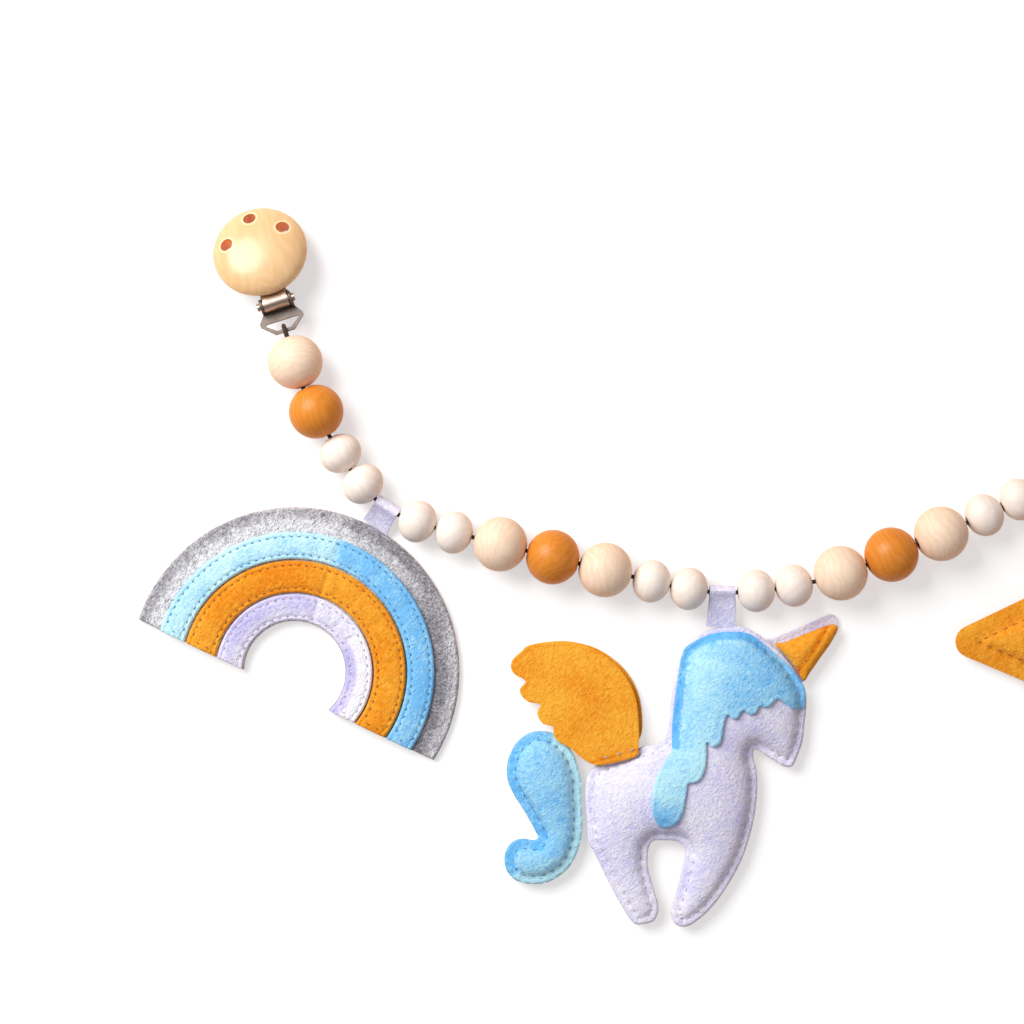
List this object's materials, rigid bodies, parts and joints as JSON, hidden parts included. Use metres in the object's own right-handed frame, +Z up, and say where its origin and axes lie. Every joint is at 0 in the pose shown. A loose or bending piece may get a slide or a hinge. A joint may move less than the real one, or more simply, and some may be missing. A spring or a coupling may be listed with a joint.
{
  "type": "pram bead chain",
  "caption": "Wooden beads on an elastic cord between two wooden toggle clips, with felt rainbow, winged unicorn and star pendants.",
  "frame": {"origin": "centre of the laid-out chain's box, on the table", "axes": "+X along the chain from the rainbow's end to the star's, +Y from the pendants towards the clips, +Z up off the table"},
  "size_m": [0.4176, 0.2662, 0.0201],
  "materials": {
    "natural_wood": "satin turned beech",
    "pale_wood": "satin turned maple",
    "orange_lacquer": "semi-gloss orange stain",
    "disc_wood": "gloss lacquer",
    "elastic": "braided dark brown",
    "nickel": "nickel plated steel",
    "grip_plastic": "moulded white",
    "white_felt": "wool felt",
    "blue_felt": "wool felt",
    "orange_felt": "wool felt",
    "grey_felt": "melange wool felt"
  },
  "bodies": {
    "strand_1": {"elastic_1": "elastic"},
    "strand_2": {"elastic_2": "elastic"},
    "strand_3": {"elastic_3": "elastic"},
    "strand_4": {"elastic_4": "elastic"},
    "strand_5": {"elastic_5": "elastic"},
    "strand_6": {"elastic_6": "elastic"},
    "strand_7": {"elastic_7": "elastic"},
    "bead_01_body": {"bead_01_large": "natural_wood"},
    "bead_02_body": {"bead_02_orange": "orange_lacquer"},
    "bead_03_body": {"bead_03_small": "pale_wood"},
    "bead_04_body": {"bead_04_small": "pale_wood"},
    "bead_05_body": {"bead_05_small": "pale_wood"},
    "bead_06_body": {"bead_06_small": "pale_wood"},
    "bead_07_body": {"bead_07_large": "natural_wood"},
    "bead_08_body": {"bead_08_orange": "orange_lacquer"},
    "bead_09_body": {"bead_09_large": "natural_wood"},
    "bead_10_body": {"bead_10_small": "pale_wood"},
    "bead_11_body": {"bead_11_small": "pale_wood"},
    "bead_12_body": {"bead_12_small": "pale_wood"},
    "bead_13_body": {"bead_13_small": "pale_wood"},
    "bead_14_body": {"bead_14_large": "natural_wood"},
    "bead_15_body": {"bead_15_orange": "orange_lacquer"},
    "bead_16_body": {"bead_16_large": "natural_wood"},
    "bead_17_body": {"bead_17_small": "pale_wood"},
    "bead_18_body": {"bead_18_small": "pale_wood"},
    "bead_19_body": {"bead_19_small": "pale_wood"},
    "bead_20_body": {"bead_20_small": "pale_wood"},
    "bead_21_body": {"bead_21_orange": "orange_lacquer"},
    "bead_22_body": {"bead_22_large": "natural_wood"},
    "rainbow": {"rainbow_tag": "white_felt", "rainbow_base": "grey_felt", "rainbow_blue_band": "blue_felt", "rainbow_orange_band": "orange_felt", "rainbow_white_band": "white_felt"},
    "unicorn": {"unicorn_back_wing": "orange_felt", "unicorn_front_leg": "white_felt", "unicorn_front_wing": "orange_felt", "unicorn_horn": "orange_felt", "unicorn_horn_back": "white_felt", "unicorn_mane": "blue_felt", "unicorn_neck_and_head": "white_felt", "unicorn_rear_leg": "white_felt", "unicorn_tag": "white_felt", "unicorn_tail": "blue_felt", "unicorn_torso": "white_felt"},
    "star": {"star_tag": "white_felt", "felt_star": "orange_felt"},
    "left_clip": {"left_clip_base": "nickel", "left_clip_pin": "nickel"},
    "left_lever": {"left_clip_lever": "nickel", "left_clip_grip_pad": "grip_plastic", "left_clip_rivet": "nickel", "left_clip_disc": "disc_wood"},
    "right_clip": {"right_clip_base": "nickel", "right_clip_pin": "nickel"},
    "right_lever": {"right_clip_lever": "nickel", "right_clip_grip_pad": "grip_plastic", "right_clip_rivet": "nickel", "right_clip_disc": "disc_wood"}
  },
  "joints": [
    {"name": "cord_bend_1", "type": "hinge", "parent": "strand_2", "child": "strand_1", "pos_m": [-0.13742, 0.04838, 0.0084], "axis": [0, 0, -1], "range_deg": [-20, 20]},
    {"name": "cord_bend_2", "type": "hinge", "parent": "strand_3", "child": "strand_2", "pos_m": [-0.08444, 0.01115, 0.0084], "axis": [0, 0, -1], "range_deg": [-8, 20]},
    {"name": "cord_bend_3", "type": "hinge", "parent": "strand_4", "child": "strand_3", "pos_m": [-0.02581, -0.00335, 0.0084], "axis": [0, 0, -1], "range_deg": [-8, 20]},
    {"name": "cord_bend_4", "type": "hinge", "parent": "strand_4", "child": "strand_5", "pos_m": [0.04116, -0.00523, 0.0084], "axis": [0, 0, 1], "range_deg": [-8, 20]},
    {"name": "cord_bend_5", "type": "hinge", "parent": "strand_5", "child": "strand_6", "pos_m": [0.09746, 0.01646, 0.0084], "axis": [0, 0, 1], "range_deg": [-8, 20]},
    {"name": "cord_bend_6", "type": "hinge", "parent": "strand_6", "child": "strand_7", "pos_m": [0.15529, 0.05097, 0.0084], "axis": [0, 0, 1], "range_deg": [-20, 20]},
    {"name": "bead_01_turn", "type": "hinge", "parent": "strand_1", "child": "bead_01_body", "pos_m": [-0.15002, 0.07567, 0.01003], "axis": [0.305, -0.9523, 0], "continuous": true},
    {"name": "bead_02_turn", "type": "hinge", "parent": "strand_1", "child": "bead_02_body", "pos_m": [-0.14229, 0.05745, 0.01003], "axis": [0.4705, -0.8793, -0.0748], "continuous": true},
    {"name": "bead_03_turn", "type": "hinge", "parent": "strand_2", "child": "bead_03_body", "pos_m": [-0.13348, 0.04212, 0.00783], "axis": [0.5336, -0.8452, -0.0322], "continuous": true},
    {"name": "bead_04_turn", "type": "hinge", "parent": "strand_2", "child": "bead_04_body", "pos_m": [-0.12518, 0.0308, 0.00783], "axis": [0.6464, -0.763, 0], "continuous": true},
    {"name": "bead_05_turn", "type": "hinge", "parent": "strand_2", "child": "bead_05_body", "pos_m": [-0.10508, 0.01704, 0.00783], "axis": [0.9412, -0.338, 0], "continuous": true},
    {"name": "bead_06_turn", "type": "hinge", "parent": "strand_2", "child": "bead_06_body", "pos_m": [-0.09162, 0.01295, 0.00783], "axis": [0.9695, -0.2428, 0.0322], "continuous": true},
    {"name": "bead_07_turn", "type": "hinge", "parent": "strand_3", "child": "bead_07_body", "pos_m": [-0.07445, 0.00864, 0.01003], "axis": [0.9672, -0.243, 0.0747], "continuous": true},
    {"name": "bead_08_turn", "type": "hinge", "parent": "strand_3", "child": "bead_08_body", "pos_m": [-0.05513, 0.00386, 0.01003], "axis": [0.9716, -0.2365, 0], "continuous": true},
    {"name": "bead_09_turn", "type": "hinge", "parent": "strand_3", "child": "bead_09_body", "pos_m": [-0.03581, -0.00087, 0.01003], "axis": [0.9682, -0.2388, -0.0748], "continuous": true},
    {"name": "bead_10_turn", "type": "hinge", "parent": "strand_4", "child": "bead_10_body", "pos_m": [-0.01862, -0.00512, 0.00783], "axis": [0.9704, -0.2392, -0.0322], "continuous": true},
    {"name": "bead_11_turn", "type": "hinge", "parent": "strand_4", "child": "bead_11_body", "pos_m": [-0.00482, -0.00786, 0.00783], "axis": [0.9888, -0.1491, 0], "continuous": true},
    {"name": "bead_12_turn", "type": "hinge", "parent": "strand_4", "child": "bead_12_body", "pos_m": [0.01996, -0.00859, 0.00783], "axis": [0.9968, 0.0802, 0], "continuous": true},
    {"name": "bead_13_turn", "type": "hinge", "parent": "strand_4", "child": "bead_13_body", "pos_m": [0.0339, -0.00667, 0.00783], "axis": [0.9808, 0.1924, 0.0322], "continuous": true},
    {"name": "bead_14_turn", "type": "hinge", "parent": "strand_5", "child": "bead_14_body", "pos_m": [0.05096, -0.00208, 0.01003], "axis": [0.9487, 0.3072, 0.0748], "continuous": true},
    {"name": "bead_15_turn", "type": "hinge", "parent": "strand_5", "child": "bead_15_body", "pos_m": [0.06961, 0.00478, 0.01003], "axis": [0.9243, 0.3816, 0], "continuous": true},
    {"name": "bead_16_turn", "type": "hinge", "parent": "strand_5", "child": "bead_16_body", "pos_m": [0.08797, 0.01245, 0.01003], "axis": [0.9184, 0.3884, -0.0748], "continuous": true},
    {"name": "bead_17_turn", "type": "hinge", "parent": "strand_6", "child": "bead_17_body", "pos_m": [0.10427, 0.01935, 0.00783], "axis": [0.9197, 0.3912, -0.0322], "continuous": true},
    {"name": "bead_18_turn", "type": "hinge", "parent": "strand_6", "child": "bead_18_body", "pos_m": [0.11713, 0.02512, 0.00783], "axis": [0.9044, 0.4266, 0], "continuous": true},
    {"name": "bead_19_turn", "type": "hinge", "parent": "strand_6", "child": "bead_19_body", "pos_m": [0.13882, 0.03724, 0.00783], "axis": [0.8218, 0.5698, 0], "continuous": true},
    {"name": "bead_20_turn", "type": "hinge", "parent": "strand_6", "child": "bead_20_body", "pos_m": [0.14983, 0.04598, 0.00783], "axis": [0.7407, 0.6711, 0.0322], "continuous": true},
    {"name": "bead_21_turn", "type": "hinge", "parent": "strand_7", "child": "bead_21_body", "pos_m": [0.16171, 0.059, 0.01003], "axis": [0.6194, 0.7815, 0.0748], "continuous": true},
    {"name": "bead_22_turn", "type": "hinge", "parent": "strand_7", "child": "bead_22_body", "pos_m": [0.17232, 0.07564, 0.01003], "axis": [0.4475, 0.8943, 0], "continuous": true},
    {"name": "rainbow_swing", "type": "hinge", "parent": "strand_2", "child": "rainbow", "pos_m": [-0.11632, 0.02221, 0.00783], "axis": [0.8299, -0.558, 0], "range_deg": [-75, 75]},
    {"name": "unicorn_swing", "type": "hinge", "parent": "strand_4", "child": "unicorn", "pos_m": [0.00754, -0.00911, 0.00783], "axis": [0.9997, -0.0236, 0], "range_deg": [-75, 75]},
    {"name": "star_swing", "type": "hinge", "parent": "strand_6", "child": "star", "pos_m": [0.12829, 0.03063, 0.00783], "axis": [0.8844, 0.4668, 0], "range_deg": [-75, 75]},
    {"name": "left_clip_swing", "type": "hinge", "parent": "strand_1", "child": "left_clip", "pos_m": [-0.15377, 0.08738, 0.01003], "axis": [-0.9523, -0.305, 0], "range_deg": [-90, 75]},
    {"name": "right_clip_swing", "type": "hinge", "parent": "strand_7", "child": "right_clip", "pos_m": [0.17782, 0.08664, 0.01003], "axis": [-0.8943, 0.4475, 0], "range_deg": [-90, 75]},
    {"name": "left_disc_open", "type": "hinge", "parent": "left_clip", "child": "left_lever", "pos_m": [-0.15708, 0.09773, 0.01081], "axis": [0.9523, 0.305, 0], "range_deg": [0, 80]},
    {"name": "right_disc_open", "type": "hinge", "parent": "right_clip", "child": "right_lever", "pos_m": [0.18269, 0.09636, 0.01081], "axis": [0.8943, -0.4475, 0], "range_deg": [0, 80]}
  ]
}
